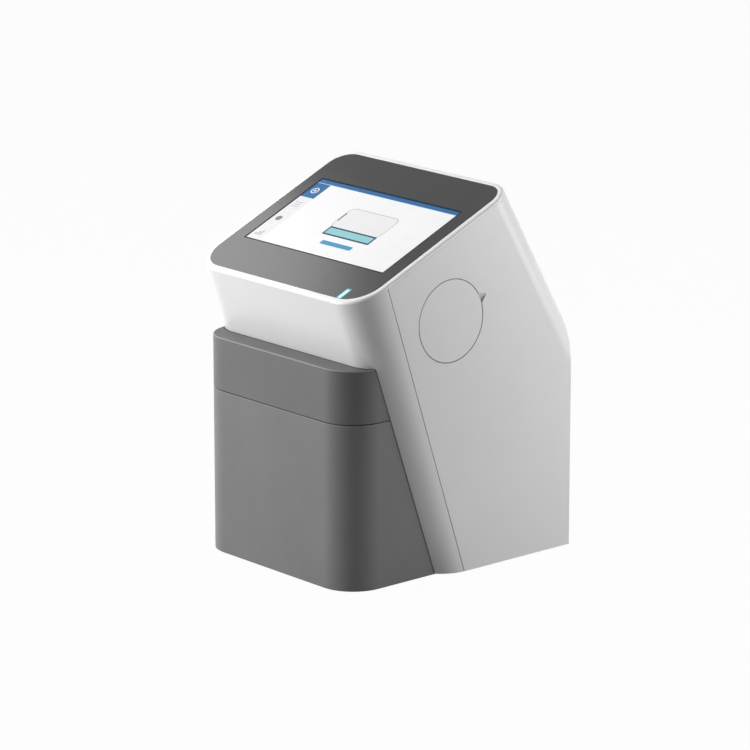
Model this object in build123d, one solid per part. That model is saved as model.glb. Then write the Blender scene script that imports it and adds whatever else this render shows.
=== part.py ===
from build123d import *
import math
import os

# Bench analyzer with a leaning touch screen head and a motor driven reagent drawer.
# Millimetres and degrees. +Z is up, -Y is the front, +X is the user's right.
# The origin is on the table, under the middle of the outer box.

# Outer form of the white casing. Heights are above its lower edge.
body_width = 220.0
body_depth = 242.0
top_front_height = 249.0
top_front_setback = 1.5
top_length = 189.0
top_tilt = 24.0
front_lean = 19.2
rear_lean = 29.7
corner_radius = 31.5
seam_top_distance = 33.5
seam_foot_distance = 29.5
rear_edge_radius = 24.0
knee_radius = 18.0
casing_wall = 3.0
rim_height = 3.0
rim_gap = 0.15
rim_radius = 2.6
frame_flange_depth = 9.0
rear_seam_inset = 30.0

# Grey front unit: a fixed lower cover and the drawer front above it
unit_side_step = 10.8
unit_corner_radius = 32.0
unit_wall = 2.5
seam_height = 144.0
ledge_height = 190.5
ledge_edge = 0.9
seam_edge = 0.6

# Clearances
seam_gap = 0.4
drawer_seam_gap = 1.0
inner_gap = 0.3
unit_gap = 0.4
running_gap = 0.5
shaft_clearance = 0.05

# Feet
foot_height = 3.0
foot_radius = 7.0
foot_inset = 26.0

# Glass, display and status light, measured on the sloping top
glass_margin = 5.0
glass_thickness = 3.0
glass_ledge = 5.0
screen_side_margin = 19.5
screen_front_distance = 47.0
screen_back_distance = 45.0
screen_drop = 0.3
display_border = 4.0
display_thickness = 9.0
light_side_distance = 31.5
light_start = 5.8
light_length = 12.0
light_width = 3.0
light_depth = 7.0

# Round switch cover on the right side
cover_diameter = 71.4
cover_setback = 103.2
cover_height = 221.8
cover_seat_gap = 0.05
cover_edge = 0.4
leg_count = 4
leg_width = 9.0
leg_length = 4.0
leg_thickness = 1.6
notch_width = 10.0
notch_length = 7.8
notch_depth = 2.2
well_depth = 14.0
well_wall = 1.6
well_step = 3.0
well_flange = 4.0
rocker_length = 17.0
rocker_width = 11.0
rocker_tilt = 8.0
rocker_rise = 5.0
rocker_keel = 2.4
rocker_pin_radius = 1.2
rocker_room = 0.6
rocker_lift = 1.5
switch_border = 2.5

# Base plate and sheet metal chassis
base_thickness = 2.0
sheet = 1.5
chassis_side_gap = 22.5
chassis_front_gap = 3.5
chassis_flange = 12.0
rear_flange = 16.0
deck_rear_gap = 12.0
upper_deck_clearance = 16.0

# Drawer, tray and runners
drawer_travel = 90.0
rail_room = 9.0
tray_wall = 2.0
tray_height = 32.0
tray_floor_height = 5.0
tray_rear_clearance = 46.0
nest_count = 4
nest_rib = 3.0
nest_length = 96.0
nest_setback = 16.0
nest_depth = 21.0
runner_height = 8.0
runner_depth = 5.5
rail_lip = 1.5
opening_margin = 1.5
opening_corner = 2.0

# Rack and pinion drive
gear_module = 1.2
pinion_teeth = 16
tooth_addendum = 0.9
tooth_dedendum = 1.12
gear_backlash = 0.3
pressure_angle = 20.0
rack_width = 9.0
rack_tip_clearance = 0.4
rack_spare_teeth = 3
pinion_width = 8.0
motor_shaft_radius = 2.5
motor_radius = 12.0
motor_deck_gap = 6.0
motor_length = 38.0
bracket_thickness = 3.0

# Rear openings and modules
fan_size = 60.0
fan_depth = 15.0
fan_height = 96.0
fan_hub_radius = 11.0
fan_blades = 7
fan_pin_radius = 1.5
fan_tip_gap = 1.0
vent_pitch = 6.0
vent_slot = 3.0
slope_vents = 8
slope_vent_length = 96.0
inlet_width = 28.0
inlet_height = 22.0
inlet_depth = 18.0
inlet_side_gap = 30.0
inlet_rise = 24.0
socket_width = 24.0
socket_height = 16.0
socket_corner = 4.0
pin_step = 7.0
pin_rise = 2.0
port_side_gap = 38.0
port_step = 18.0
usb_socket = (13.2, 5.8)
network_socket = (12.4, 9.0)
port_rise = 28.0
screw_radius = 1.5
screw_head_radius = 3.0
screw_head_height = 1.6
screw_sink = 0.3
screw_gap = 0.2
screw_length = 6.0
screw_edge = 10.0

# Reader, heater and boards inside the head
lens_radius = 7.0
lens_length = 12.0
reader_depth = 44.0
reader_height = 34.0
heater_length = 40.0
heater_pad_height = 5.0
board_lift = 6.0
board_thickness = 1.6
board_length = 58.0
board_side_gap = 17.5
standoff_radius = 3.2
standoff_edge = 6.0
heat_sink = 32.0
heat_sink_height = 4.0
board_plug_edge = 8.0
board_plug_length = 32.0
board_plug_height = 9.0
board_plug_depth = 9.0
supply_width = 56.0
supply_length = 110.0
supply_height = 38.0
supply_side_gap = 12.0
supply_clearance = 6.0
supply_slots = 8
supply_slot = 4.0
supply_slot_edge = 10.0
supply_slot_depth = 2.0
port_block_depth = 16.0
port_wall = 2.5

# Values worked out from the sizes above
tilt = math.radians(top_tilt)
lean = math.radians(front_lean)
slope = math.radians(rear_lean)
front_y = -body_depth / 2
back_y = body_depth / 2
half_width = body_width / 2
unit_width = body_width - 2 * unit_side_step
chassis_half_width = half_width - chassis_side_gap
tray_half_width = chassis_half_width - rail_room
supply_side = chassis_half_width - sheet - supply_side_gap
board_half_width = chassis_half_width - board_side_gap
rear_half_width = half_width - rear_seam_inset
inlet_offset = rear_half_width - inlet_side_gap
port_offset = -rear_half_width + port_side_gap
casing_bottom = foot_height
far = 600.0
upwards = (Align.CENTER, Align.CENTER, Align.MIN)
seam_z = casing_bottom + seam_height
ledge_z = casing_bottom + ledge_height
base_top = casing_bottom + base_thickness

# Lines of the side profile as a point, a direction and an inward normal, in Y and Z
top_front = (front_y + top_front_setback, casing_bottom + top_front_height)
top_back = (top_front[0] + top_length * math.cos(tilt), top_front[1] + top_length * math.sin(tilt))
top_line = (top_front, (math.cos(tilt), math.sin(tilt)), (math.sin(tilt), -math.cos(tilt)))
front_line = (top_front, (-math.sin(lean), math.cos(lean)), (math.cos(lean), math.sin(lean)))
rear_line = (top_back, (math.sin(slope), -math.cos(slope)), (-math.cos(slope), -math.sin(slope)))
back_line = ((back_y, 0.0), (0.0, 1.0), (-1.0, 0.0))

top_plane = Plane(origin=(0, *top_front), x_dir=(1, 0, 0), z_dir=(0, -math.sin(tilt), math.cos(tilt)))
front_plane = Plane(origin=(0, *top_front), x_dir=(1, 0, 0), z_dir=(0, -math.sin(lean), math.cos(lean)))
rear_plane = Plane(origin=(0, *top_back), x_dir=(1, 0, 0), z_dir=(0, math.sin(slope), -math.cos(slope)))


def inset_line(line, inset):
    """Moves a profile line inwards."""
    point, direction, normal = line
    return (point[0] + inset * normal[0], point[1] + inset * normal[1]), direction


def meet(line_a, inset_a, line_b, inset_b):
    """Point where two inset profile lines cross."""
    (ay, az), (ady, adz) = inset_line(line_a, inset_a)
    (by, bz), (bdy, bdz) = inset_line(line_b, inset_b)
    step = ((by - ay) * bdz - (bz - az) * bdy) / (ady * bdz - adz * bdy)
    return ay + step * ady, az + step * adz


def y_on(line, inset, height):
    """Y of an inset profile line at a height."""
    (y, z), (dy, dz) = inset_line(line, inset)
    return y + (height - z) * dy / dz


def yz_prism(points, reach, round_point=None, radius=0.0):
    """Solid with a profile in Y and Z, from -reach to +reach along X."""
    face = make_face(Polyline(*points, close=True))
    if round_point:
        corner = face.vertices().sort_by_distance((*round_point, 0))[0]
        face = fillet(corner, radius)
    return extrude(Plane.YZ * face, reach, both=True)


def block(x_range, y_range, z_range):
    """Box between pairs of coordinates."""
    size = [high - low for low, high in (x_range, y_range, z_range)]
    middle = [(high + low) / 2 for low, high in (x_range, y_range, z_range)]
    return Pos(*middle) * Box(*size)


def top_block(x_range, along, depth):
    """Box set square to the sloping top, with its depth below that face."""
    return top_plane * block(x_range, along, (-depth[1], -depth[0]))


def top_slab(depth_from, depth_to):
    """Everything between two depths below the sloping top."""
    return top_block((-far, far), (-far, far), (depth_from, depth_to))


def rounded_core(plane, radius, inset):
    """Block behind a leaning face, with its two corners beside that face rounded."""
    area = Pos(0, inset) * Rectangle(body_width - 2 * inset, far, align=(Align.CENTER, Align.MIN))
    corners = area.vertices().group_by(Axis.Y)[0]
    return extrude(plane * fillet(corners, radius - inset), far, both=True)


def casing_volume(inset, top_inset, bottom):
    """The casing as a full solid, moved in from its outer faces by an inset."""
    knee = meet(rear_line, inset, back_line, inset)
    (start_y, start_z), _ = inset_line(top_line, top_inset)
    before = (start_y - far / 2 * math.cos(tilt), start_z - far / 2 * math.sin(tilt))
    peak = meet(top_line, top_inset, rear_line, inset)
    points = [before, peak, knee, (back_y - inset, bottom), (before[0], bottom)]
    profile = yz_prism(points, half_width + 1, knee, max(knee_radius - inset, 1.0))
    front = rounded_core(front_plane, corner_radius, inset)
    return front & profile & rounded_core(rear_plane, rear_edge_radius, inset)


def seam_prism(gap):
    """Everything in front of the side seam, which runs along the end of the front corner rounding."""
    foot_inset_y = y_on(front_line, seam_foot_distance, casing_bottom)
    top_y, top_z = inset_line(front_line, seam_top_distance)[0]
    rate = (top_y - foot_inset_y) / (top_z - casing_bottom)
    low_y = foot_inset_y - rate * (far + casing_bottom) + gap
    high_y = foot_inset_y + rate * (far - casing_bottom) + gap
    return yz_prism([(-far, -far), (low_y, -far), (high_y, far), (-far, far)], far)


outer_casing = casing_volume(0.0, 0.0, casing_bottom)
top_face = max(outer_casing.faces(), key=lambda face: face.normal_at().dot(top_plane.z_dir))
outer_casing = fillet(top_face.edges(), rim_radius)
inner_casing = casing_volume(casing_wall, casing_wall, casing_bottom - 5)
casing_shell = outer_casing - inner_casing
lined_casing = casing_volume(casing_wall + inner_gap, casing_wall, casing_bottom)
unit_cutter = casing_volume(-unit_gap, -unit_gap, -far)

# Places along the axis of the round cover
well_inner = cover_diameter / 2 - well_step
cover_seat_x = half_width - casing_wall
well_floor_x = cover_seat_x - well_depth
rocker_x = well_floor_x + rocker_lift

# Drawer heights and lengths
drawer_bottom = seam_z + drawer_seam_gap / 2
tray_bottom = drawer_bottom + unit_wall
tray_top = tray_bottom + tray_height
tray_front = front_y + unit_wall
tray_rear = back_y - tray_rear_clearance
runner_middle = tray_bottom + tray_height / 2
rail_front = y_on(front_line, casing_wall, tray_bottom) + running_gap
rail_outer = chassis_half_width - sheet
opening_half = tray_half_width + runner_depth + opening_margin
upper_deck_z = tray_top + upper_deck_clearance

# Rack and pinion places
bracket_x = pinion_width / 2 + 2.0
pitch_radius = gear_module * pinion_teeth / 2
tip_radius = pitch_radius + tooth_addendum * gear_module
root_radius = pitch_radius - tooth_dedendum * gear_module
tooth_pitch = math.pi * gear_module
rack_tip_z = tray_bottom + rack_tip_clearance
pitch_line_z = rack_tip_z + tooth_addendum * gear_module
pinion_z = pitch_line_z - pitch_radius
deck_top = pinion_z - motor_radius - motor_deck_gap
bracket_half = motor_radius + 1.0
pinion_y = y_on(front_line, casing_wall + chassis_front_gap, deck_top) + bracket_half


def make_front_casing():
    """White front wrap in one piece with the rim round the glass."""
    wrap = casing_shell & seam_prism(0.0)
    rim = outer_casing & top_slab(-1.0, rim_height)
    flange = lined_casing & top_slab(0.0, frame_flange_depth)
    pocket = casing_volume(glass_margin - inner_gap / 2, -2.0, casing_bottom)
    pocket = pocket & top_slab(-2.0, glass_thickness)
    window = casing_volume(glass_margin + glass_ledge, -2.0, casing_bottom)
    window = window & top_slab(-2.0, frame_flange_depth + 2.0)
    slot_z = (tray_bottom - running_gap * 2, tray_top + running_gap * 2)
    slot_y = (y_on(front_line, 0, slot_z[1]) - 5, y_on(front_line, casing_wall, slot_z[0]) + 2)
    slot = block((-opening_half, opening_half), slot_y, slot_z)
    slot = fillet(slot.edges().filter_by(Axis.Y), opening_corner)
    return wrap + rim + flange - pocket - window - slot - light_pipe(inner_gap / 2, -1.0)


def rear_part(gap):
    """The casing wall behind the side seam and below the rim."""
    return (casing_shell - seam_prism(gap)) - top_slab(-5.0, rim_height + rim_gap)


def cover_axis_point(x):
    """Point on the axis of the round switch cover."""
    return Vector(x, front_y + cover_setback, casing_bottom + cover_height)


def cover_cylinder(radius, x_from, x_to):
    """Cylinder about the axis of the round switch cover."""
    plane = Plane(origin=cover_axis_point(x_from), x_dir=(0, 1, 0), z_dir=(1, 0, 0))
    return extrude(plane * Circle(radius), x_to - x_from)


def finger_notch():
    """Ramp beside the round cover that lets a nail under its edge, widest and deepest there."""
    outward = (0, math.cos(tilt), math.sin(tilt))
    start = cover_axis_point(half_width) + Vector(*outward) * (cover_diameter / 2)
    surface = Plane(origin=start, x_dir=outward, z_dir=(1, 0, 0))
    corners = [(0, -notch_width / 2), (notch_length, 0), (0, notch_width / 2)]
    prism = extrude(surface * make_face(Polyline(*corners, close=True)), -notch_depth)
    rise = (notch_length, -notch_depth * outward[1], -notch_depth * outward[2])
    ramp = Plane(origin=start + Vector(*outward) * notch_length, x_dir=(0, -outward[2], outward[1]), z_dir=rise)
    return split(prism, bisect_by=ramp, keep=Keep.TOP)


def make_side_cover(side):
    """Side cover, wrapping round the rear edge. side is 1 on the user's right."""
    reach = rear_half_width + seam_gap / 2
    band = block((reach, far), (-far, far), (-far, far))
    if side < 0:
        band = mirror(band, Plane.YZ)
    cover = rear_part(seam_gap) & band
    if side > 0:
        cover = cover - cover_cylinder(cover_diameter / 2 + inner_gap, cover_seat_x - 1, half_width + 1)
        cover = cover - finger_notch()
    return cover


def vent_rows(radius):
    """Heights and half lengths of slots that fill a circle."""
    rows = int(radius / vent_pitch)
    heights = [row * vent_pitch for row in range(-rows, rows + 1)]
    return [(z, math.sqrt(max(radius ** 2 - z ** 2, 0.0))) for z in heights if abs(z) < radius - vent_slot]


def screw_places():
    """Centres of the rear panel screws, as X and Z."""
    x = rear_half_width - screw_edge
    upper = meet(rear_line, 0, back_line, 0)[1] - knee_radius
    lower = casing_bottom + screw_edge + base_thickness
    return [(side * x, z) for side in (-1, 1) for z in (lower, upper)]


def screw_cone(x, z, growth, height):
    """Cone of a countersunk screw head, opening to the rear."""
    rate = (screw_head_radius - screw_radius) / screw_head_height
    start = (x, back_y - screw_sink - screw_head_height, z)
    low_radius = screw_radius + growth
    cone = Cone(low_radius, low_radius + rate * height, height, align=upwards)
    return Plane(origin=start, x_dir=(1, 0, 0), z_dir=(0, 1, 0)) * cone


def make_rear_panel():
    """Rear panel with its fan grille, slope vents, inlet hole, port holes and screw holes."""
    reach = rear_half_width - seam_gap / 2
    panel = rear_part(seam_gap) & block((-reach, reach), (0, far), (-far, far))
    cut_depth = casing_wall + 2
    for z, half_length in vent_rows(fan_size / 2 - 3):
        if half_length > vent_slot:
            place = Pos(0, back_y, casing_bottom + fan_height + z)
            panel = panel - place * Box(2 * half_length, 2 * cut_depth, vent_slot)
    slope_length = math.dist(top_back, meet(rear_line, 0, back_line, 0))
    first = slope_length / 2 - (slope_vents - 1) * vent_pitch / 2
    for row in range(slope_vents):
        face = rear_plane.offset(first + row * vent_pitch) * Rectangle(slope_vent_length, 2 * cut_depth)
        panel = panel - extrude(face, vent_slot / 2, both=True)
    panel = panel - inlet_block(inner_gap / 2, cut_depth)
    panel = panel - port_openings(1.0, cut_depth)
    for x, z in screw_places():
        hole = Plane(origin=(x, back_y, z), x_dir=(1, 0, 0), z_dir=(0, -1, 0))
        panel = panel - extrude(hole * Circle(screw_radius + screw_gap), casing_wall + 1)
        panel = panel - screw_cone(x, z, screw_gap, screw_head_height + 2 * screw_sink)
    return panel


def inlet_block(growth, depth):
    """Outline of the power inlet, from the rear face inwards."""
    x = (inlet_offset - inlet_width / 2 - growth, inlet_offset + inlet_width / 2 + growth)
    middle = casing_bottom + inlet_rise
    z = (middle - inlet_height / 2 - growth, middle + inlet_height / 2 + growth)
    body = block(x, (back_y - depth, back_y), z)
    return fillet(body.edges().filter_by(Axis.Y), 2.0)


def port_layout():
    """Each rear port as its middle X, width and height."""
    usb = [(port_offset - port_step, *usb_socket), (port_offset, *usb_socket)]
    return usb + [(port_offset + port_step, *network_socket)]


def port_openings(growth, depth):
    """Openings of the rear ports as solids to cut away."""
    ports = []
    for x, width, height in port_layout():
        z = casing_bottom + port_rise
        xs = (x - width / 2 - growth, x + width / 2 + growth)
        zs = (z - height / 2 - growth, z + height / 2 + growth)
        ports.append(block(xs, (back_y - depth, back_y + 1), zs))
    return Compound(children=ports)


def front_block(inset, low, high):
    """Rounded block of the grey front unit, reaching into the casing."""
    depth = y_on(front_line, corner_radius, casing_bottom) - front_y - inset
    width = unit_width - 2 * inset
    area = Pos(0, front_y + inset) * Rectangle(width, depth, align=(Align.CENTER, Align.MIN))
    corners = area.vertices().group_by(Axis.Y)[0]
    area = fillet(corners, unit_corner_radius - inset)
    return extrude(Pos(0, 0, low) * area, high - low)


def eased_top(body, size):
    """Takes the sharp edge off the top of a front block, apart from its rear."""
    upper = body.faces().sort_by(Axis.Z)[-1]
    return chamfer(upper.edges().sort_by(Axis.Y)[:-1], size)


def make_lower_front_cover():
    """Fixed grey cover below the drawer, closed above and below and open at the casing."""
    top = seam_z - drawer_seam_gap / 2
    body = eased_top(front_block(0, casing_bottom, top), seam_edge)
    cavity = front_block(unit_wall, casing_bottom + unit_wall, top - unit_wall)
    return (body - unit_cutter) - cavity


def make_drawer_front():
    """Grey drawer front with the ledge as its roof, cut along the leaning casing."""
    body = eased_top(front_block(0, drawer_bottom, ledge_z), ledge_edge)
    cavity = front_block(unit_wall, drawer_bottom + unit_wall, ledge_z - unit_wall)
    return (body - unit_cutter) - cavity


def nest_spans():
    """X ranges of the cartridge nests in the tray."""
    inner = 2 * (tray_half_width - tray_wall)
    width = (inner - (nest_count - 1) * nest_rib) / nest_count
    starts = [-tray_half_width + tray_wall + index * (width + nest_rib) for index in range(nest_count)]
    return [(start, start + width) for start in starts]


def nest_y_range():
    """Y range of the cartridge nests."""
    start = rail_front + nest_setback
    return start, min(start + nest_length, tray_rear - tray_wall)


def make_drawer_tray():
    """Moulded tray with a row of cartridge nests and a recess below for the rack."""
    body = block((-tray_half_width, tray_half_width), (tray_front, tray_rear), (tray_bottom, tray_top))
    recess = block(
        (-tray_half_width + tray_wall, tray_half_width - tray_wall),
        (tray_front + tray_wall, tray_rear + 1),
        (tray_bottom - 1, tray_bottom + tray_floor_height),
    )
    front_corners = body.edges().filter_by(Axis.Z).group_by(Axis.Y)[0]
    corner = unit_corner_radius - unit_width / 2 + tray_half_width
    body = fillet(front_corners, corner)
    front_corners = recess.edges().filter_by(Axis.Z).group_by(Axis.Y)[0]
    body = body - fillet(front_corners, corner - tray_wall)
    y_range = nest_y_range()
    for x_range in nest_spans():
        nest = block(x_range, y_range, (tray_top - nest_depth, tray_top + 1))
        nest = fillet(nest.edges().filter_by(Axis.Z), 2.0)
        body = body - nest
    return body


def make_runner(side):
    """Moving runner bar on the side of the tray."""
    x = sorted((side * tray_half_width, side * (tray_half_width + runner_depth)))
    z = (runner_middle - runner_height / 2, runner_middle + runner_height / 2)
    return block(x, (rail_front + running_gap, tray_rear), z)


def make_rail(side):
    """Fixed channel rail that carries a runner."""
    gap = inner_gap
    inner = tray_half_width + running_gap
    x = sorted((side * inner, side * rail_outer))
    half = runner_height / 2 + gap + rail_lip
    channel = block(x, (rail_front, tray_rear), (runner_middle - half, runner_middle + half))
    hollow_x = sorted((side * (inner - 1), side * (tray_half_width + runner_depth + gap)))
    half = runner_height / 2 + gap
    hollow = block(hollow_x, (rail_front - 1, tray_rear + 1), (runner_middle - half, runner_middle + half))
    return channel - hollow


def rack_profile():
    """Rack in Y and Z with straight sided teeth that point down, one space over the pinion."""
    start = pinion_y - rack_spare_teeth * tooth_pitch
    count = math.ceil(drawer_travel / tooth_pitch) + 2 * rack_spare_teeth
    back_z = tray_bottom + tray_floor_height
    root_z = rack_tip_z + (tooth_addendum + tooth_dedendum) * gear_module
    spread = math.tan(math.radians(pressure_angle))
    half_tooth = tooth_pitch / 4 - gear_backlash / 4
    tip_half = half_tooth - (pitch_line_z - rack_tip_z) * spread
    root_half = half_tooth + (root_z - pitch_line_z) * spread
    points = [(start, back_z), (start, root_z)]
    for index in range(count):
        middle = start + (index + 0.5) * tooth_pitch
        points += [(middle - root_half, root_z), (middle - tip_half, rack_tip_z)]
        points += [(middle + tip_half, rack_tip_z), (middle + root_half, root_z)]
    end = start + count * tooth_pitch
    points += [(end, root_z), (end, back_z)]
    return points


def make_rack():
    """Rack below the tray floor."""
    return yz_prism(rack_profile(), rack_width / 2)


def involute_angle(radius, base):
    """Angle that an involute has turned through at a radius."""
    ratio = math.sqrt(max((radius / base) ** 2 - 1, 0.0))
    return ratio - math.atan(ratio)


def make_pinion():
    """Spur pinion with involute flanks, one tooth pointing up, bored for its shaft."""
    base = pitch_radius * math.cos(math.radians(pressure_angle))
    half_pitch = (tooth_pitch / 2 - gear_backlash / 2) / (2 * pitch_radius)
    half_base = half_pitch + involute_angle(pitch_radius, base)
    radii = [base, base + 0.35 * (tip_radius - base), base + 0.7 * (tip_radius - base), tip_radius]
    points = []
    for tooth in range(pinion_teeth):
        middle = math.pi / 2 + tooth * 2 * math.pi / pinion_teeth
        flank = [(root_radius, half_base)] + [(r, half_base - involute_angle(r, base)) for r in radii]
        turns = [(r, middle - a) for r, a in flank] + [(r, middle + a) for r, a in reversed(flank)]
        points += [(r * math.cos(a), r * math.sin(a)) for r, a in turns]
    face = make_face(Polyline(*points, close=True)) - Circle(motor_shaft_radius)
    place = Pos(0, pinion_y, pinion_z)
    return place * extrude(Plane.YZ * face, pinion_width / 2, both=True)


def x_cylinder(radius, x_from, x_to, y, z):
    """Cylinder along X."""
    plane = Plane(origin=(x_from, y, z), x_dir=(0, 1, 0), z_dir=(1, 0, 0))
    return extrude(plane * Circle(radius), x_to - x_from)


def make_pinion_shaft():
    """Motor output shaft, which carries the pinion."""
    end = bracket_x + bracket_thickness + 4.0
    return x_cylinder(motor_shaft_radius, -pinion_width / 2 - 1, end, pinion_y, pinion_z)


def make_motor_bracket():
    """Angle bracket on the motor deck, bored for the output shaft."""
    deck = deck_top
    half = bracket_half
    outer_x = bracket_x + bracket_thickness
    y_range = (pinion_y - half, pinion_y + half)
    upright = block((bracket_x, outer_x), y_range, (deck, pinion_z + half * 0.6))
    foot = block((bracket_x, bracket_x + half * 1.6), y_range, (deck, deck + bracket_thickness))
    bore = x_cylinder(motor_shaft_radius + shaft_clearance, bracket_x - 1, outer_x + 1, pinion_y, pinion_z)
    return upright + foot - bore


def make_drawer_motor():
    """Geared motor, flat at the bracket and hollow round the end of its shaft."""
    start = bracket_x + bracket_thickness
    end = start + motor_length
    body = x_cylinder(motor_radius, start, end, pinion_y, pinion_z)
    tail = x_cylinder(motor_radius * 0.4, end, end + 3, pinion_y, pinion_z)
    bore = x_cylinder(motor_shaft_radius + shaft_clearance, start - 1, start + 5, pinion_y, pinion_z)
    return body + tail - bore


def make_glass():
    """Top glass with the display window and the slot of the status light."""
    body = casing_volume(glass_margin, 0.0, casing_bottom) & top_slab(0.0, glass_thickness)
    window = top_block(screen_x(), screen_along(), (-1, glass_thickness + 1))
    return body - window - light_pipe(inner_gap / 2, -1.0)


def screen_x():
    """X range of the display window."""
    return -half_width + screen_side_margin, half_width - screen_side_margin


def screen_along():
    """Range of the display window up the slope."""
    return screen_front_distance, top_length - screen_back_distance


def make_display_screen():
    """Lit face of the display, set in the window of the glass."""
    gap = inner_gap / 2
    x = (screen_x()[0] + gap, screen_x()[1] - gap)
    along = (screen_along()[0] + gap, screen_along()[1] - gap)
    return top_block(x, along, (screen_drop, glass_thickness))


def make_display_frame():
    """Metal can of the display, against the underside of the glass."""
    x = (screen_x()[0] - display_border, screen_x()[1] + display_border)
    along = (screen_along()[0] - display_border, screen_along()[1] + display_border)
    return top_block(x, along, (glass_thickness, glass_thickness + display_thickness))


def light_pipe(growth, top_depth):
    """Status light bar in the front edge of the glass."""
    width = light_width + 2 * growth
    length = light_length + 2 * growth
    place = Pos(half_width - light_side_distance, light_start + light_length / 2)
    face = place * SlotOverall(length, width, rotation=90)
    return top_plane * Pos(0, 0, -light_depth) * extrude(face, light_depth - top_depth)


def make_base_plate():
    """Floor of the casing."""
    slab = block((-far, far), (-far, far), (casing_bottom, base_top))
    return casing_volume(casing_wall + inner_gap, casing_wall, casing_bottom - 1) & slab


def foot_places():
    """Centres of the feet in plan: two under the front cover and two under the base plate."""
    x = unit_width / 2 - foot_inset
    return [(side * x, y) for y in (front_y + foot_inset, back_y - foot_inset) for side in (-1, 1)]


def make_feet():
    """Four rubber feet."""
    feet = []
    for x, y in foot_places():
        feet.append(Pos(x, y, foot_height / 2) * Cone(foot_radius - 1, foot_radius, foot_height))
    return Compound(children=feet)


def make_chassis():
    """Sheet metal frame: two side plates, the motor deck and the upper deck, with turned flanges."""
    low = base_top
    high = upper_deck_z + sheet
    front_inset = casing_wall + chassis_front_gap
    rear = back_y - casing_wall - inner_gap
    front_edge = [(y_on(front_line, front_inset, z), z) for z in (low, high)]
    profile = front_edge + [(rear, high), (rear, low)]
    full = yz_prism(profile, chassis_half_width)
    hollow = yz_prism(profile, chassis_half_width - sheet)
    plates = full - hollow
    deck_z = deck_top - sheet
    deck_rear = rear - fan_depth - deck_rear_gap
    motor_deck = hollow & block((-far, far), (-far, deck_rear), (deck_z, deck_z + sheet))
    upper_deck = hollow & block((-far, far), (-far, deck_rear), (upper_deck_z, high))
    clear = chassis_half_width - chassis_flange
    flanges = hollow & block((-far, far), (-far, far), (low, low + sheet))
    flanges = flanges - block((-clear, clear), (-far, far), (-far, far))
    clear = chassis_half_width - rear_flange
    rear_flanges = hollow & block((-far, far), (rear - sheet, rear), (low, high))
    rear_flanges = rear_flanges - block((-clear, clear), (-far, far), (-far, far))
    frame = plates + motor_deck + upper_deck + flanges + rear_flanges
    for x, z in screw_places():
        hole = Plane(origin=(x, back_y, z), x_dir=(1, 0, 0), z_dir=(0, -1, 0))
        frame = frame - extrude(hole * Circle(screw_radius + 0.1), casing_wall + 8)
    lens_y = lens_row_y()
    for x in lens_places():
        frame = frame - Pos(x, lens_y, upper_deck_z) * Cylinder(lens_radius + running_gap, lens_length)
    return frame


def lens_places():
    """X of each lens, over the middle of each nest."""
    return [(low + high) / 2 for low, high in nest_spans()]


def lens_row_y():
    """Y of the row of lenses, over the rear of the nests."""
    low, high = nest_y_range()
    return high - lens_radius - 10.0


def make_reader_head():
    """Housing of the optical reader on the upper deck."""
    y = lens_row_y()
    base = upper_deck_z + sheet
    y_range = (y - reader_depth / 2, y + reader_depth / 2)
    return block((-tray_half_width, tray_half_width), y_range, (base, base + reader_height))


def make_lenses():
    """One lens barrel for each nest, through the upper deck."""
    top = upper_deck_z + sheet
    barrels = []
    for x in lens_places():
        barrels.append(Pos(x, lens_row_y(), top - lens_length / 2) * Cylinder(lens_radius, lens_length))
    return Compound(children=barrels)


def make_heater():
    """Aluminium heating block under the upper deck."""
    y = lens_row_y() - lens_radius - 6.0
    z = (tray_top + 2.0, upper_deck_z)
    y_range = (y - heater_length, y)
    plate = block((-tray_half_width + 6, tray_half_width - 6), y_range, (z[0] + heater_pad_height, z[1]))
    for low, high in nest_spans():
        plate = plate + block((low + 3, high - 3), y_range, (z[0], z[0] + heater_pad_height))
    return plate


def board_y_range():
    """Y range of the main board, in front of the reader."""
    rear = lens_row_y() - reader_depth / 2 - 4.0
    return rear - board_length, rear


def make_main_board():
    """Main circuit board with its larger parts."""
    y = board_y_range()
    low = upper_deck_z + sheet + board_lift
    board = block((-board_half_width, board_half_width), y, (low, low + board_thickness))
    top = low + board_thickness
    middle = (y[0] + y[1]) / 2
    processor = Pos(0, middle, top) * Box(heat_sink, heat_sink, heat_sink_height, align=upwards)
    plug_x = (board_half_width - board_plug_edge - board_plug_length, board_half_width - board_plug_edge)
    plugs = block(plug_x, (y[0] + 3, y[0] + 3 + board_plug_depth), (top, top + board_plug_height))
    memory_x = (-board_half_width + 2 * standoff_edge, -heat_sink / 2 - 2 * standoff_edge)
    memory = block(memory_x, (middle - 6, middle + 6), (top, top + 3))
    return board + processor + plugs + memory


def make_standoffs():
    """Pillars that carry the main board."""
    y = board_y_range()
    low = upper_deck_z + sheet
    pillars = []
    for x in (-board_half_width + standoff_edge, board_half_width - standoff_edge):
        for place in (y[0] + standoff_edge, y[1] - standoff_edge):
            pillars.append(Pos(x, place, low) * extrude(RegularPolygon(standoff_radius, 6), board_lift))
    return Compound(children=pillars)


def make_power_supply():
    """Mains power supply in a slotted cage on the base plate."""
    low = base_top
    rear = back_y - casing_wall - inlet_depth - supply_clearance
    x = (supply_side - supply_width, supply_side)
    body = block(x, (rear - supply_length, rear), (low, low + supply_height))
    slot_x = (x[0] + supply_slot_edge, x[1] - supply_slot_edge)
    slot_z = (low + supply_height - supply_slot_depth, low + supply_height + 1)
    for index in range(supply_slots):
        middle = rear - supply_length * (index + 1) / (supply_slots + 1)
        body = body - block(slot_x, (middle - supply_slot / 2, middle + supply_slot / 2), slot_z)
    return body


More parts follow.
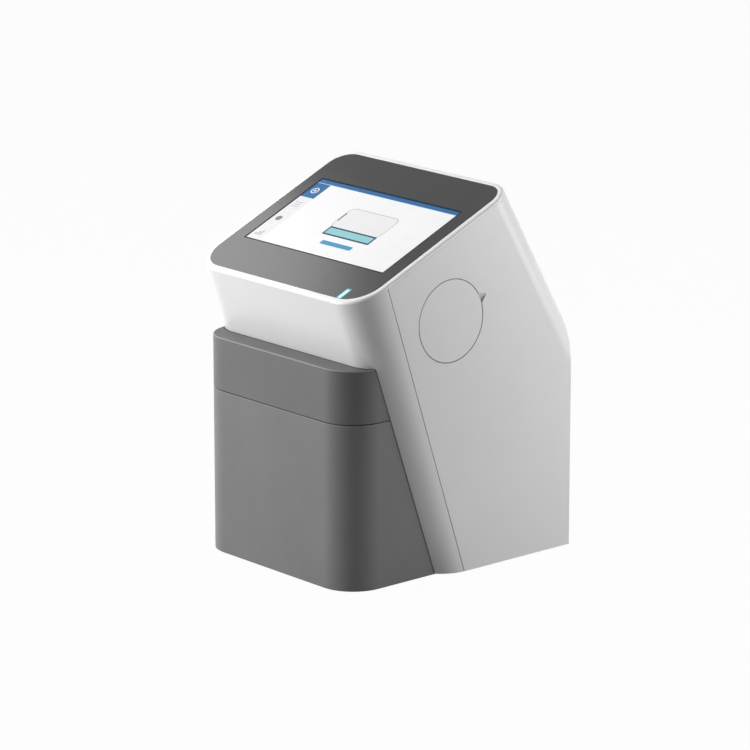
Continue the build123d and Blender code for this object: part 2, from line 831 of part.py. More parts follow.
def make_inlet():
    """Three pin appliance inlet, set flush in the rear panel."""
    body = inlet_block(0, inlet_depth)
    z = casing_bottom + inlet_rise
    floor_y = back_y - inlet_depth + 2
    x_range = (inlet_offset - socket_width / 2, inlet_offset + socket_width / 2)
    socket = block(x_range, (floor_y, back_y + 1), (z - socket_height / 2, z + socket_height / 2))
    socket = chamfer(socket.edges().filter_by(Axis.Y).group_by(Axis.Z)[-1], socket_corner)
    body = body - socket
    for side in (-1, 0, 1):
        x = inlet_offset + side * pin_step
        rise = z + pin_rise * (1 - 2 * abs(side))
        pin = block((x - 1, x + 1), (floor_y, back_y - 3), (rise - 2, rise + 2))
        body = body + pin
    return body


def make_port_block():
    """Block of data sockets behind the rear panel."""
    z = casing_bottom + port_rise
    rear = back_y - casing_wall
    left = min(x - width / 2 for x, width, height in port_layout()) - port_wall
    right = max(x + width / 2 for x, width, height in port_layout()) + port_wall
    half_height = max(height / 2 for x, width, height in port_layout()) + port_wall
    body = block((left, right), (rear - port_block_depth, rear), (z - half_height, z + half_height))
    hole_y = (rear - port_block_depth + port_wall, rear + 1)
    for x, width, height in port_layout():
        body = body - block((x - width / 2, x + width / 2), hole_y, (z - height / 2, z + height / 2))
    return body


def make_fan_frame():
    """Square fan frame with struts that carry the rotor pin."""
    rear = back_y - casing_wall
    z = casing_bottom + fan_height
    half = fan_size / 2
    body = block((-half, half), (rear - fan_depth, rear), (z - half, z + half))
    body = body - y_cylinder(half - 1.5, rear - fan_depth - 1, rear + 1, 0, z)
    seat = rear - fan_depth
    body = body + y_cylinder(fan_hub_radius, seat, seat + 2, 0, z)
    body = body + block((-half + 1, half - 1), (seat, seat + 2), (z - 1.5, z + 1.5))
    body = body + block((-1.5, 1.5), (seat, seat + 2), (z - half + 1, z + half - 1))
    return body + y_cylinder(fan_pin_radius, seat + 1, rear - 3, 0, z)


def y_cylinder(radius, y_from, y_to, x, z):
    """Cylinder along Y."""
    plane = Plane(origin=(x, y_from, z), x_dir=(1, 0, 0), z_dir=(0, 1, 0))
    return extrude(plane * Circle(radius), y_to - y_from)


def make_fan_rotor():
    """Fan hub with pitched blades, bored for its pin."""
    rear = back_y - casing_wall
    z = casing_bottom + fan_height
    low = rear - fan_depth + 2 + running_gap
    high = rear - 1.5
    outer = fan_size / 2 - 1.5 - fan_tip_gap
    ring = y_cylinder(outer, low + 1, high - 1, 0, z) - y_cylinder(fan_hub_radius - 1, low, high, 0, z)
    rotor = y_cylinder(fan_hub_radius, low, high, 0, z)
    for index in range(fan_blades):
        turn = index * 360 / fan_blades
        blade = Pos(0, 0, (outer + fan_hub_radius) / 2) * Rot(0, 0, 40) * Box(1.2, 2.2 * fan_depth, outer)
        blade = Pos(0, (low + high) / 2, z) * Rot(0, turn, 0) * blade
        rotor = rotor + (blade & ring)
    return rotor - y_cylinder(fan_pin_radius + shaft_clearance, low - 1, high - 1.5, 0, z)


def make_rear_screws():
    """Countersunk screws of the rear panel."""
    screws = []
    for x, z in screw_places():
        shank = y_cylinder(screw_radius, back_y - screw_length, back_y - screw_head_height, x, z)
        screws.append(screw_cone(x, z, 0.0, screw_head_height) + shank)
    return Compound(children=screws)


def make_switch_well():
    """Round well behind the side cover, with the ledge on which the round cover seats."""
    outer = cover_diameter / 2 + well_flange
    body = cover_cylinder(outer, cover_seat_x - 2, cover_seat_x)
    body = body + cover_cylinder(well_inner + well_wall, well_floor_x - well_wall, cover_seat_x)
    body = body - cover_cylinder(well_inner, well_floor_x, cover_seat_x + 1)
    hole = cover_axis_point(0)
    half_y = rocker_width / 2 + switch_border - 0.5
    half_z = rocker_length / 2 + switch_border - 0.5
    y_range = (hole.Y - half_y, hole.Y + half_y)
    cut = block((well_floor_x - 5, well_floor_x + 1), y_range, (hole.Z - half_z, hole.Z + half_z))
    return body - cut


def make_switch_frame():
    """Frame of the power switch, standing through the floor of the well."""
    centre = cover_axis_point(0)
    y_half = rocker_width / 2 + rocker_room
    z_half = rocker_length / 2 + rocker_room
    outer = block(
        (well_floor_x, well_floor_x + 3),
        (centre.Y - y_half - switch_border, centre.Y + y_half + switch_border),
        (centre.Z - z_half - switch_border, centre.Z + z_half + switch_border),
    )
    outer = fillet(outer.faces().sort_by(Axis.X)[-1].edges(), 0.8)
    neck = block(
        (well_floor_x - 6, well_floor_x + 1),
        (centre.Y - y_half - 1, centre.Y + y_half + 1),
        (centre.Z - z_half - 1, centre.Z + z_half + 1),
    )
    room = block(
        (well_floor_x - 4.5, well_floor_x + 4),
        (centre.Y - y_half, centre.Y + y_half),
        (centre.Z - z_half, centre.Z + z_half),
    )
    body = outer + neck - room
    plane = Plane(origin=(rocker_x, centre.Y - y_half - 0.5, centre.Z), x_dir=(1, 0, 0), z_dir=(0, 1, 0))
    return body + extrude(plane * Circle(rocker_pin_radius), 2 * y_half + 1)


def make_rocker():
    """Rocker of the power switch, resting with its lower end pressed in."""
    centre = cover_axis_point(0)
    half = rocker_length / 2
    rise = half * math.tan(math.radians(rocker_tilt))
    high = rocker_rise - 0.5
    left_side = [(0.0, -half), (high, -half)]
    right_side = [(high, half), (0.0, half)]
    points = left_side + [(rocker_rise - rise, 0.0)] + right_side + [(-rocker_keel, 0.0)]
    face = make_face(Polyline(*points, close=True))
    body = extrude(Plane.XZ * face, rocker_width / 2, both=True)
    body = body - extrude(Plane.XZ * Circle(rocker_pin_radius + shaft_clearance), rocker_width, both=True)
    return Pos(rocker_x, centre.Y, centre.Z) * Rot(0, rocker_tilt, 0) * body


def make_switch_cover():
    """Round lift off cover, flush with the side, with four snap legs that fit the well."""
    face_x = half_width
    seat_x = cover_seat_x + cover_seat_gap
    disc = cover_cylinder(cover_diameter / 2, seat_x, face_x)
    disc = chamfer(disc.faces().sort_by(Axis.X)[-1].edges(), cover_edge)
    reach = math.sqrt((well_inner - inner_gap) ** 2 - (leg_width / 2) ** 2)
    leg_y = (-leg_width / 2, leg_width / 2)
    leg = block((cover_seat_x - leg_length, seat_x), leg_y, (reach - leg_thickness, reach))
    for index in range(leg_count):
        turned = Rot(index * 360 / leg_count, 0, 0) * leg
        disc = disc + Pos(*cover_axis_point(0)) * turned
    return disc


pieces = {
    "base_plate": make_base_plate(),
    "rubber_feet": make_feet(),
    "front_casing": make_front_casing(),
    "right_side_cover": make_side_cover(1),
    "left_side_cover": make_side_cover(-1),
    "rear_panel": make_rear_panel(),
    "rear_screws": make_rear_screws(),
    "lower_front_cover": make_lower_front_cover(),
    "top_glass": make_glass(),
    "display_screen": make_display_screen(),
    "display_frame": make_display_frame(),
    "status_light": light_pipe(0.0, 0.0),
    "chassis": make_chassis(),
    "left_rail": make_rail(-1),
    "right_rail": make_rail(1),
    "reader_head": make_reader_head(),
    "reader_lenses": make_lenses(),
    "heating_block": make_heater(),
    "main_board": make_main_board(),
    "board_standoffs": make_standoffs(),
    "power_supply": make_power_supply(),
    "power_inlet": make_inlet(),
    "port_block": make_port_block(),
    "fan_frame": make_fan_frame(),
    "fan_rotor": make_fan_rotor(),
    "motor_bracket": make_motor_bracket(),
    "drawer_motor": make_drawer_motor(),
    "drive_pinion": make_pinion(),
    "pinion_shaft": make_pinion_shaft(),
    "drawer_front": make_drawer_front(),
    "drawer_tray": make_drawer_tray(),
    "left_runner": make_runner(-1),
    "right_runner": make_runner(1),
    "drawer_rack": make_rack(),
    "switch_well": make_switch_well(),
    "switch_frame": make_switch_frame(),
    "power_rocker": make_rocker(),
    "switch_cover": make_switch_cover(),
}

os.makedirs("parts", exist_ok=True)
for name, piece in pieces.items():
    export_step(piece, f"parts/{name}.step")
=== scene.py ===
import math

import bmesh
import bpy
from mathutils import Matrix, Vector


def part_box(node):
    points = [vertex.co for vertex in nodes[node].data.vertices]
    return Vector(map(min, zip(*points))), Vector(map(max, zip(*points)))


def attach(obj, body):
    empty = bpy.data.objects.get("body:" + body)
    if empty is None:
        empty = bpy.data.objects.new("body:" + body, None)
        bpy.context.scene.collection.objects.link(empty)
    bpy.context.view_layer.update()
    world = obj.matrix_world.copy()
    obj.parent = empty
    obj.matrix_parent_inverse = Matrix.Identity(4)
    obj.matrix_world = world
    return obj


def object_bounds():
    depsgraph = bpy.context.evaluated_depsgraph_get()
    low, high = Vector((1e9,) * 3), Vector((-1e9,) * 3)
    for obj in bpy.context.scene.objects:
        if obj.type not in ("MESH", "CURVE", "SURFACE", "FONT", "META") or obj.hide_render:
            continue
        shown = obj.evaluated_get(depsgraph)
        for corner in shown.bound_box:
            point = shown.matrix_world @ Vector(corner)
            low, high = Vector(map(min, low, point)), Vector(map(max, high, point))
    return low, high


# Metres. +Z is up, -Y is the front, +X is the user's right, and the origin is on the table.
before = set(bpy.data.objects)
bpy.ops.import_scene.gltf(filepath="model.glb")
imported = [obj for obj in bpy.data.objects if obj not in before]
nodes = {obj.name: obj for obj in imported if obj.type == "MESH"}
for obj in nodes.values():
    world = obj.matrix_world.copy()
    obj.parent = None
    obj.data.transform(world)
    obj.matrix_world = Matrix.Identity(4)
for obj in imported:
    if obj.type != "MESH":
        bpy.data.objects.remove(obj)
cad_low, cad_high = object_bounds()

# Directions, with the sloping top and the slope behind it
across = Vector((1.0, 0.0, 0.0))
leftwards = Vector((-1.0, 0.0, 0.0))
backwards = Vector((0.0, 1.0, 0.0))
upwards = Vector((0.0, 0.0, 1.0))
top_tilt = math.radians(24.0)
rear_lean = math.radians(29.7)
along_top = Vector((0.0, math.cos(top_tilt), math.sin(top_tilt)))
top_normal = across.cross(along_top)
along_rear_slope = Vector((0.0, -math.sin(rear_lean), math.cos(rear_lean)))


def face_matrix(origin, side, forward):
    """Matrix whose X runs along side, Y along forward and Z out of the face."""
    turned = Matrix((side, forward, side.cross(forward))).transposed().to_4x4()
    return Matrix.Translation(origin) @ turned


# Camera, worked out from the straight edges of the photograph
camera_azimuth = math.radians(49.01)
camera_elevation = math.radians(14.682)
camera_roll = math.radians(-0.02)
camera_distance = 3.55957
camera_target = Vector((0.0, 0.011, 0.179))
camera_side_step = 0.013068
camera_up_step = 0.026499
camera_reach = 60.0
image_width = 750
focal_pixels = 4138.45
sensor_width = 36.0


def make_camera():
    """Camera at the photograph's viewing angle."""
    flat = math.cos(camera_elevation)
    rise = math.sin(camera_elevation)
    back = Vector((math.sin(camera_azimuth) * flat, -math.cos(camera_azimuth) * flat, rise))
    right = Vector((math.cos(camera_azimuth), math.sin(camera_azimuth), 0.0))
    up = back.cross(right)
    place = camera_target - right * camera_side_step - up * camera_up_step + back * camera_distance
    turned_right = right * math.cos(camera_roll) + up * math.sin(camera_roll)
    turned_up = up * math.cos(camera_roll) - right * math.sin(camera_roll)
    data = bpy.data.cameras.new("camera")
    data.sensor_width = sensor_width
    data.lens = focal_pixels / image_width * sensor_width
    data.clip_end = camera_reach
    camera = bpy.data.objects.new("camera", data)
    camera.matrix_world = face_matrix(place, turned_right, turned_up)
    bpy.context.scene.collection.objects.link(camera)
    bpy.context.scene.camera = camera


make_camera()
bpy.context.scene.view_settings.view_transform = "Standard"


# Slabs on the sloping top, worked out from the boxes of the frame
def tilted_slab(node):
    """Front left corner of the upper face of a slab on the sloping top, with its width and length."""
    low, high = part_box(node)
    depth = high.y - low.y
    height = high.z - low.z
    cosine = math.cos(top_tilt)
    sine = math.sin(top_tilt)
    length = (depth * cosine - height * sine) / (cosine ** 2 - sine ** 2)
    return Vector((low.x, low.y, high.z - length * sine)), high.x - low.x, length


screen_corner, screen_width, screen_length = tilted_slab("display_screen")
glass_corner, glass_width, glass_length = tilted_slab("top_glass")
light_corner, light_width, light_length = tilted_slab("status_light")
screen_place = face_matrix(screen_corner, across, along_top)
glass_place = face_matrix(glass_corner, across, along_top)
light_place = face_matrix(light_corner, across, along_top)


# Node helpers
noise_low = 0.3
noise_high = 0.7


def new_material(name):
    """New node material, with its tree and its shader."""
    material = bpy.data.materials.new(name)
    material.use_nodes = True
    tree = material.node_tree
    return material, tree, tree.nodes["Principled BSDF"]


def set_sockets(shader, sockets):
    """Sets plain values on a shader. An underscore stands for a space in a socket's name."""
    for socket, value in sockets.items():
        shader.inputs[socket.replace("_", " ")].default_value = value


def noise(tree, scale, detail=3.0, stretch=(1.0, 1.0, 1.0)):
    """Noise in the object's own metres, stretched along an axis if asked."""
    place = tree.nodes.new("ShaderNodeTexCoord")
    mapping = tree.nodes.new("ShaderNodeMapping")
    mapping.inputs["Scale"].default_value = stretch
    texture = tree.nodes.new("ShaderNodeTexNoise")
    texture.inputs["Scale"].default_value = scale
    texture.inputs["Detail"].default_value = detail
    tree.links.new(place.outputs["Object"], mapping.inputs["Vector"])
    tree.links.new(mapping.outputs["Vector"], texture.inputs["Vector"])
    return texture.outputs["Fac"]


def map_range(tree, value, from_range, to_range):
    """Maps one range of a value onto another."""
    node = tree.nodes.new("ShaderNodeMapRange")
    node.inputs["From Min"].default_value = from_range[0]
    node.inputs["From Max"].default_value = from_range[1]
    node.inputs["To Min"].default_value = to_range[0]
    node.inputs["To Max"].default_value = to_range[1]
    tree.links.new(value, node.inputs["Value"])
    return node.outputs["Result"]


def spread(tree, value, low, high):
    """Maps a noise value onto a range."""
    return map_range(tree, value, (noise_low, noise_high), (low, high))


def fade(tree, value, start, end):
    """1 up to a start value, falling to 0 at an end value."""
    return map_range(tree, value, (start, end), (1.0, 0.0))


def uneven(tree, scale, value, share):
    """A value that drifts up and down by a share of itself."""
    return spread(tree, noise(tree, scale), value * (1 - share), value * (1 + share))


def blend_colours(tree, factor, first, second):
    """Mixes two colours by a factor."""
    node = tree.nodes.new("ShaderNodeMix")
    node.data_type = "RGBA"
    node.inputs["A"].default_value = (*first, 1.0)
    node.inputs["B"].default_value = (*second, 1.0)
    tree.links.new(factor, node.inputs["Factor"])
    return node.outputs["Result"]


def mottled(tree, scale, colour, tint):
    """A colour that drifts towards another."""
    return blend_colours(tree, spread(tree, noise(tree, scale), 0.0, 1.0), colour, tint)


def bump(tree, shader, height, depth):
    """Raises the surface by a height value."""
    node = tree.nodes.new("ShaderNodeBump")
    node.inputs["Distance"].default_value = depth
    tree.links.new(height, node.inputs["Height"])
    tree.links.new(node.outputs["Normal"], shader.inputs["Normal"])


def calculate(tree, operation, first, second=0.0):
    """One step of arithmetic on a value, with a number or another value."""
    node = tree.nodes.new("ShaderNodeMath")
    node.operation = operation
    tree.links.new(first, node.inputs[0])
    if isinstance(second, float):
        node.inputs[1].default_value = second
    else:
        tree.links.new(second, node.inputs[1])
    return node.outputs["Value"]


def past(tree, value, edge):
    """How far a value lies past an edge, or 0 before it."""
    return calculate(tree, "MAXIMUM", calculate(tree, "SUBTRACT", value, edge), 0.0)


def long_side(tree, first, second):
    """Longest side of a right triangle from its two short sides."""
    first_square = calculate(tree, "POWER", first, 2.0)
    second_square = calculate(tree, "POWER", second, 2.0)
    return calculate(tree, "SQRT", calculate(tree, "ADD", first_square, second_square))


def distance_to_plane(tree, point, normal):
    """Distance of each surface point from a plane, less than 0 behind it."""
    place = tree.nodes.new("ShaderNodeTexCoord")
    moved = tree.nodes.new("ShaderNodeVectorMath")
    moved.operation = "SUBTRACT"
    moved.inputs[1].default_value = point
    product = tree.nodes.new("ShaderNodeVectorMath")
    product.operation = "DOT_PRODUCT"
    product.inputs[1].default_value = normal
    tree.links.new(place.outputs["Object"], moved.inputs[0])
    tree.links.new(moved.outputs["Vector"], product.inputs[0])
    return product.outputs["Value"]


def steps_from_plane(tree, point, normal):
    """Distance of each surface point from a plane, on either side of it."""
    return calculate(tree, "ABSOLUTE", distance_to_plane(tree, point, normal))


def distance_to_tube(tree, centre, radius):
    """Distance of each surface point from a tube about an axis along X, less than 0 inside it."""
    place = tree.nodes.new("ShaderNodeTexCoord")
    flat = tree.nodes.new("ShaderNodeVectorMath")
    flat.operation = "MULTIPLY"
    flat.inputs[1].default_value = (0.0, 1.0, 1.0)
    reach = tree.nodes.new("ShaderNodeVectorMath")
    reach.operation = "DISTANCE"
    reach.inputs[1].default_value = (0.0, centre.y, centre.z)
    tree.links.new(place.outputs["Object"], flat.inputs[0])
    tree.links.new(flat.outputs["Vector"], reach.inputs[0])
    return calculate(tree, "SUBTRACT", reach.outputs["Value"], radius)


def overlay(material, make_mask, colour):
    """Lays another colour over part of a material."""
    tree = material.node_tree
    socket = tree.nodes["Principled BSDF"].inputs["Base Color"]
    below = socket.links[0].from_socket
    node = tree.nodes.new("ShaderNodeMix")
    node.data_type = "RGBA"
    node.inputs["B"].default_value = (*colour, 1.0)
    tree.links.new(below, node.inputs["A"])
    tree.links.new(make_mask(tree), node.inputs["Factor"])
    tree.links.new(node.outputs["Result"], socket)


# Kinds of finish
shade_scale = 22.0
gloss_scale = 60.0
grain_detail = 2.0
brush_scale = 900.0
brush_detail = 4.0
brush_depth = 0.00002
brush_gloss = (0.8, 1.25)
lit_shade_scale = 30.0
lit_gloss_scale = 80.0
lit_unevenness = 0.1


def moulded(name, colour, tint, roughness, grain_scale, grain_depth, unevenness=0.05, **sockets):
    """Plastic, rubber, paint or glass with slight shifts of colour and gloss and a fine grain."""
    material, tree, shader = new_material(name)
    tree.links.new(mottled(tree, shade_scale, colour, tint), shader.inputs["Base Color"])
    tree.links.new(uneven(tree, gloss_scale, roughness, unevenness), shader.inputs["Roughness"])
    bump(tree, shader, noise(tree, grain_scale, grain_detail), grain_depth)
    set_sockets(shader, sockets)
    return material


def brushed(name, colour, tint, roughness, stretch):
    """Metal with a fine brushed or rolled grain along one axis."""
    material, tree, shader = new_material(name)
    grain = noise(tree, brush_scale, brush_detail, stretch)
    tone = blend_colours(tree, spread(tree, grain, 0.0, 1.0), colour, tint)
    gloss = spread(tree, grain, roughness * brush_gloss[0], roughness * brush_gloss[1])
    tree.links.new(tone, shader.inputs["Base Color"])
    tree.links.new(gloss, shader.inputs["Roughness"])
    bump(tree, shader, grain, brush_depth)
    shader.inputs["Metallic"].default_value = 1.0
    return material


def glowing(name, colour, tint, strength, roughness, **sockets):
    """Lit surface with a slight unevenness."""
    material, tree, shader = new_material(name)
    tone = mottled(tree, lit_shade_scale, colour, tint)
    tree.links.new(tone, shader.inputs["Base Color"])
    tree.links.new(tone, shader.inputs["Emission Color"])
    shader.inputs["Emission Strength"].default_value = strength
    tree.links.new(uneven(tree, lit_gloss_scale, roughness, lit_unevenness), shader.inputs["Roughness"])
    set_sockets(shader, sockets)
    return material


# Plastics, rubber, glass and paint
white_shell = moulded(
    "white_shell", (0.80, 0.80, 0.80), (0.785, 0.785, 0.785),
    roughness=0.30, grain_scale=700.0, grain_depth=0.000001,
)
side_white = moulded(
    "side_white", (0.78, 0.78, 0.78), (0.765, 0.765, 0.767),
    roughness=0.36, grain_scale=700.0, grain_depth=0.000002,
)
grey_shell = moulded(
    "grey_shell", (0.185, 0.185, 0.187), (0.172, 0.172, 0.174),
    roughness=0.42, grain_scale=2600.0, grain_depth=0.000008, Specular_IOR_Level=0.3,
)
grey_band = moulded(
    "grey_band", (0.150, 0.150, 0.152), (0.140, 0.140, 0.142),
    roughness=0.42, grain_scale=2600.0, grain_depth=0.000008, Specular_IOR_Level=0.3,
)
tray_plastic = moulded(
    "tray_plastic", (0.050, 0.052, 0.056), (0.040, 0.042, 0.046),
    roughness=0.45, grain_scale=2200.0, grain_depth=0.00002,
)
black_plastic = moulded(
    "black_plastic", (0.020, 0.020, 0.022), (0.014, 0.014, 0.016),
    roughness=0.48, grain_scale=2400.0, grain_depth=0.00002,
)
gear_plastic = moulded(
    "gear_plastic", (0.66, 0.63, 0.54), (0.60, 0.57, 0.48),
    roughness=0.40, grain_scale=1500.0, grain_depth=0.00001,
)
rubber = moulded(
    "rubber", (0.022, 0.022, 0.023), (0.030, 0.030, 0.031),
    roughness=0.82, grain_scale=1600.0, grain_depth=0.00004,
)
pad_rubber = moulded(
    "pad_rubber", (0.26, 0.27, 0.28), (0.22, 0.23, 0.24),
    roughness=0.70, grain_scale=1600.0, grain_depth=0.00003,
)
circuit_board = moulded(
    "circuit_board", (0.012, 0.085, 0.035), (0.010, 0.070, 0.030),
    roughness=0.36, grain_scale=500.0, grain_depth=0.00003,
)
chip_black = moulded(
    "chip_black", (0.018, 0.018, 0.019), (0.026, 0.026, 0.027),
    roughness=0.55, grain_scale=3000.0, grain_depth=0.00001,
)
dust_mesh = moulded(
    "dust_mesh", (0.016, 0.016, 0.017), (0.024, 0.024, 0.025),
    roughness=0.70, grain_scale=2400.0, grain_depth=0.00005,
)
lens_glass = moulded(
    "lens_glass", (0.03, 0.04, 0.08), (0.02, 0.02, 0.05),
    roughness=0.06, grain_scale=300.0, grain_depth=0.000001,
)
dark_glass = moulded(
    "dark_glass", (0.022, 0.022, 0.023), (0.018, 0.018, 0.019),
    roughness=0.20, grain_scale=250.0, grain_depth=0.0000008, unevenness=0.01, IOR=1.42,
)
black_mask = moulded(
    "black_mask", (0.012, 0.012, 0.013), (0.010, 0.010, 0.011),
    roughness=0.60, grain_scale=500.0, grain_depth=0.000001, Specular_IOR_Level=0.1,
)
label_silver = moulded(
    "label_silver", (0.56, 0.57, 0.58), (0.60, 0.61, 0.62),
    roughness=0.42, grain_scale=900.0, grain_depth=0.000004,
)

# Metals
sheet_steel = brushed(
    "sheet_steel", (0.46, 0.47, 0.49), (0.54, 0.55, 0.57),
    roughness=0.34, stretch=(1.0, 0.06, 1.0),
)
aluminium = brushed(
    "aluminium", (0.60, 0.61, 0.62), (0.68, 0.69, 0.70),
    roughness=0.30, stretch=(0.06, 1.0, 1.0),
)
screw_steel = brushed(
    "screw_steel", (0.34, 0.34, 0.35), (0.44, 0.44, 0.45),
    roughness=0.28, stretch=(1.0, 1.0, 0.2),
)
brass = brushed(
    "brass", (0.62, 0.46, 0.20), (0.70, 0.53, 0.26),
    roughness=0.25, stretch=(1.0, 0.1, 1.0),
)

# Lit tones of the display and the status light
display_dimming = 0.45
display_tint = 0.97
display_glow = 1.25
display_roughness = 0.3
display_gloss = 0.12


def picture_tone(name, colour):
    """One tone of the picture on the display, partly lit from behind."""
    dimmed = [part * display_dimming for part in colour]
    tint = [part * display_tint for part in dimmed]
    return glowing(name, dimmed, tint, display_glow, display_roughness, Specular_IOR_Level=display_gloss)


screen_field = picture_tone("screen_field", (0.94, 0.94, 0.94))
header_blue = picture_tone("header_blue", (0.012, 0.15, 0.38))
tab_grey = picture_tone("tab_grey", (0.84, 0.84, 0.84))
line_grey = picture_tone("line_grey", (0.46, 0.47, 0.48))
card_grey = picture_tone("card_grey", (0.86, 0.86, 0.86))
icon_grey = picture_tone("icon_grey", (0.22, 0.23, 0.24))
outline_dark = picture_tone("outline_dark", (0.02, 0.035, 0.04))
teal = picture_tone("teal", (0.28, 0.63, 0.69))
button_blue = picture_tone("button_blue", (0.045, 0.32, 0.57))
status_glow = glowing("status_glow", (0.30, 0.80, 0.84), (0.36, 0.86, 0.90), strength=0.9, roughness=0.3)

# Darker lines where covers meet
seam_point = Vector((0.0, -0.00135, 0.003))
seam_lean = math.radians(18.36)
seam_normal = Vector((0.0, math.cos(seam_lean), math.sin(seam_lean)))
seam_tone = (0.38, 0.38, 0.38)
line_half = 0.00055
line_core = 0.7
cover_low, cover_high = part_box("switch_cover")
cover_middle = (cover_low + cover_high) / 2
cover_radius = (cover_high.z - cover_low.z) / 2


def thin_line(tree, distance):
    """Narrow band on both sides of the place where a distance is 0."""
    return fade(tree, calculate(tree, "ABSOLUTE", distance), line_half * line_core, line_half)


def seam_mask(tree):
    """Line along the side seam."""
    return thin_line(tree, distance_to_plane(tree, seam_point, seam_normal))


def cover_mask(tree):
    """Line along the gap round the switch cover, on the right side alone."""
    line = thin_line(tree, distance_to_tube(tree, cover_middle, cover_radius))
    right_side = calculate(tree, "GREATER_THAN", distance_to_plane(tree, Vector(), across), 0.0)
    return calculate(tree, "MULTIPLY", line, right_side)


# Painted highlight on the rim round the glass, where the white casing is painted brighter
rim_depth = 0.0022
rim_fade = 0.0004
painted_rim_highlight = (0.93, 0.93, 0.93)


def rim_highlight_mask(tree):
    """The rim round the glass, down to a depth below its upper face, which gets the painted highlight."""
    depth = calculate(tree, "MULTIPLY", distance_to_plane(tree, glass_corner, top_normal), -1.0)
    return fade(tree, depth, rim_depth, rim_depth + rim_fade)


# Painted highlights on the sloped edges of the grey front unit, and painted shade in its gap against the
# casing, wider on the ledge
corner_radius = 0.0315
corner_middle_x = cad_high.x - corner_radius
front_lean = math.radians(19.2)
front_normal = Vector((0.0, -math.cos(front_lean), -math.sin(front_lean)))
casing_front = Vector((0.0, -0.1195, 0.252))
gap_shade_tone = (0.03, 0.03, 0.03)
gap_start = 0.0009
gap_end = 0.0012
ledge_shade_widening = 0.0012
ledge_margin = 0.0004
painted_edge_highlight = (0.31, 0.31, 0.31)
ledge_edge_drop = 0.00045
ledge_edge_band = (0.00036, 0.00043)
ledge_edge = Vector((0.0, 0.0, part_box("drawer_front")[1].z - ledge_edge_drop))
lower_edge_drop = 0.0003
lower_edge_band = (0.00024, 0.00029)
lower_edge = Vector((0.0, 0.0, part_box("lower_front_cover")[1].z - lower_edge_drop))


def casing_gap_shade_mask(tree):
    """Narrow band of painted shade where the grey unit meets the rounded front of the casing, wider on
    the ledge.
    """
    side_part = past(tree, steps_from_plane(tree, Vector(), across), corner_middle_x)
    front_part = past(tree, distance_to_plane(tree, casing_front, front_normal), -corner_radius)
    gap = calculate(tree, "SUBTRACT", long_side(tree, side_part, front_part), corner_radius)
    on_ledge = calculate(tree, "GREATER_THAN", distance_to_plane(tree, ledge_edge, upwards), ledge_margin)
    narrowed = calculate(tree, "SUBTRACT", gap, calculate(tree, "MULTIPLY", on_ledge, ledge_shade_widening))
    return fade(tree, narrowed, gap_start, gap_end)


def ledge_highlight_mask(tree):
    """Sloped front edge of the ledge, which gets a painted highlight."""
    return fade(tree, steps_from_plane(tree, ledge_edge, upwards), *ledge_edge_band)


def lower_edge_highlight_mask(tree):
    """Sloped upper edge of the lower cover, below the drawer seam, which gets a painted highlight."""
    return fade(tree, steps_from_plane(tree, lower_edge, upwards), *lower_edge_band)


overlay(white_shell, seam_mask, seam_tone)
# Painted highlight on the rim round the glass
overlay(white_shell, rim_highlight_mask, painted_rim_highlight)
overlay(side_white, seam_mask, seam_tone)
overlay(side_white, cover_mask, seam_tone)
# Painted highlight on the front edge of the ledge
overlay(grey_band, ledge_highlight_mask, painted_edge_highlight)
# Painted shade in the gap between the drawer front and the casing
overlay(grey_band, casing_gap_shade_mask, gap_shade_tone)
# Painted highlight on the upper edge of the lower cover
overlay(grey_shell, lower_edge_highlight_mask, painted_edge_highlight)
# Painted shade in the gap between the lower cover and the casing
overlay(grey_shell, casing_gap_shade_mask, gap_shade_tone)

# Finish of each CAD node
finish_of = {
    "base_plate": sheet_steel,
    "rubber_feet": rubber,
    "front_casing": white_shell,
    "right_side_cover": side_white,
    "left_side_cover": side_white,
    "rear_panel": side_white,
    "rear_screws": screw_steel,
    "lower_front_cover": grey_shell,
    "top_glass": dark_glass,
    "display_screen": screen_field,
    "display_frame": sheet_steel,
    "status_light": status_glow,
    "chassis": sheet_steel,
    "left_rail": sheet_steel,
    "right_rail": sheet_steel,
    "reader_head": black_plastic,
    "reader_lenses": lens_glass,
    "heating_block": aluminium,
    "main_board": circuit_board,
    "board_standoffs": screw_steel,
    "power_supply": sheet_steel,
    "power_inlet": black_plastic,
    "port_block": black_plastic,
    "fan_frame": black_plastic,
    "fan_rotor": black_plastic,
    "motor_bracket": sheet_steel,
    "drawer_motor": sheet_steel,
    "drive_pinion": gear_plastic,
    "pinion_shaft": screw_steel,
    "drawer_front": grey_band,
    "drawer_tray": tray_plastic,
    "left_runner": sheet_steel,
    "right_runner": sheet_steel,
    "drawer_rack": gear_plastic,
    "switch_well": black_plastic,
    "switch_frame": black_plastic,
    "power_rocker": black_plastic,
    "switch_cover": side_white,
}
for node_name, node in nodes.items():
    node.data.materials.clear()
    node.data.materials.append(finish_of[node_name])


# Shapes of the small pieces that the frame leaves to this script
def rounded_outline(x_range, y_range, radius, far_radius=None, steps=6):
    """Points round a rectangle with rounded corners. The two at the far end may have their own radius."""
    x_low, x_high = x_range
    y_low, y_high = y_range
    far = radius if far_radius is None else far_radius
    centres = [
        (x_high - radius, y_low + radius, radius, -90.0),
        (x_high - far, y_high - far, far, 0.0),
        (x_low + far, y_high - far, far, 90.0),
        (x_low + radius, y_low + radius, radius, 180.0),
    ]
    points = []
    for x, y, size, start in centres:
        for step in range(steps + 1):
            turn = math.radians(start + 90.0 * step / steps)
            points.append((x + size * math.cos(turn), y + size * math.sin(turn)))
    return points


def centred_outline(x, y, half_x, half_y, radius):
    """Points round a rectangle with rounded corners, about its middle."""
    return rounded_outline((x - half_x, x + half_x), (y - half_y, y + half_y), radius)


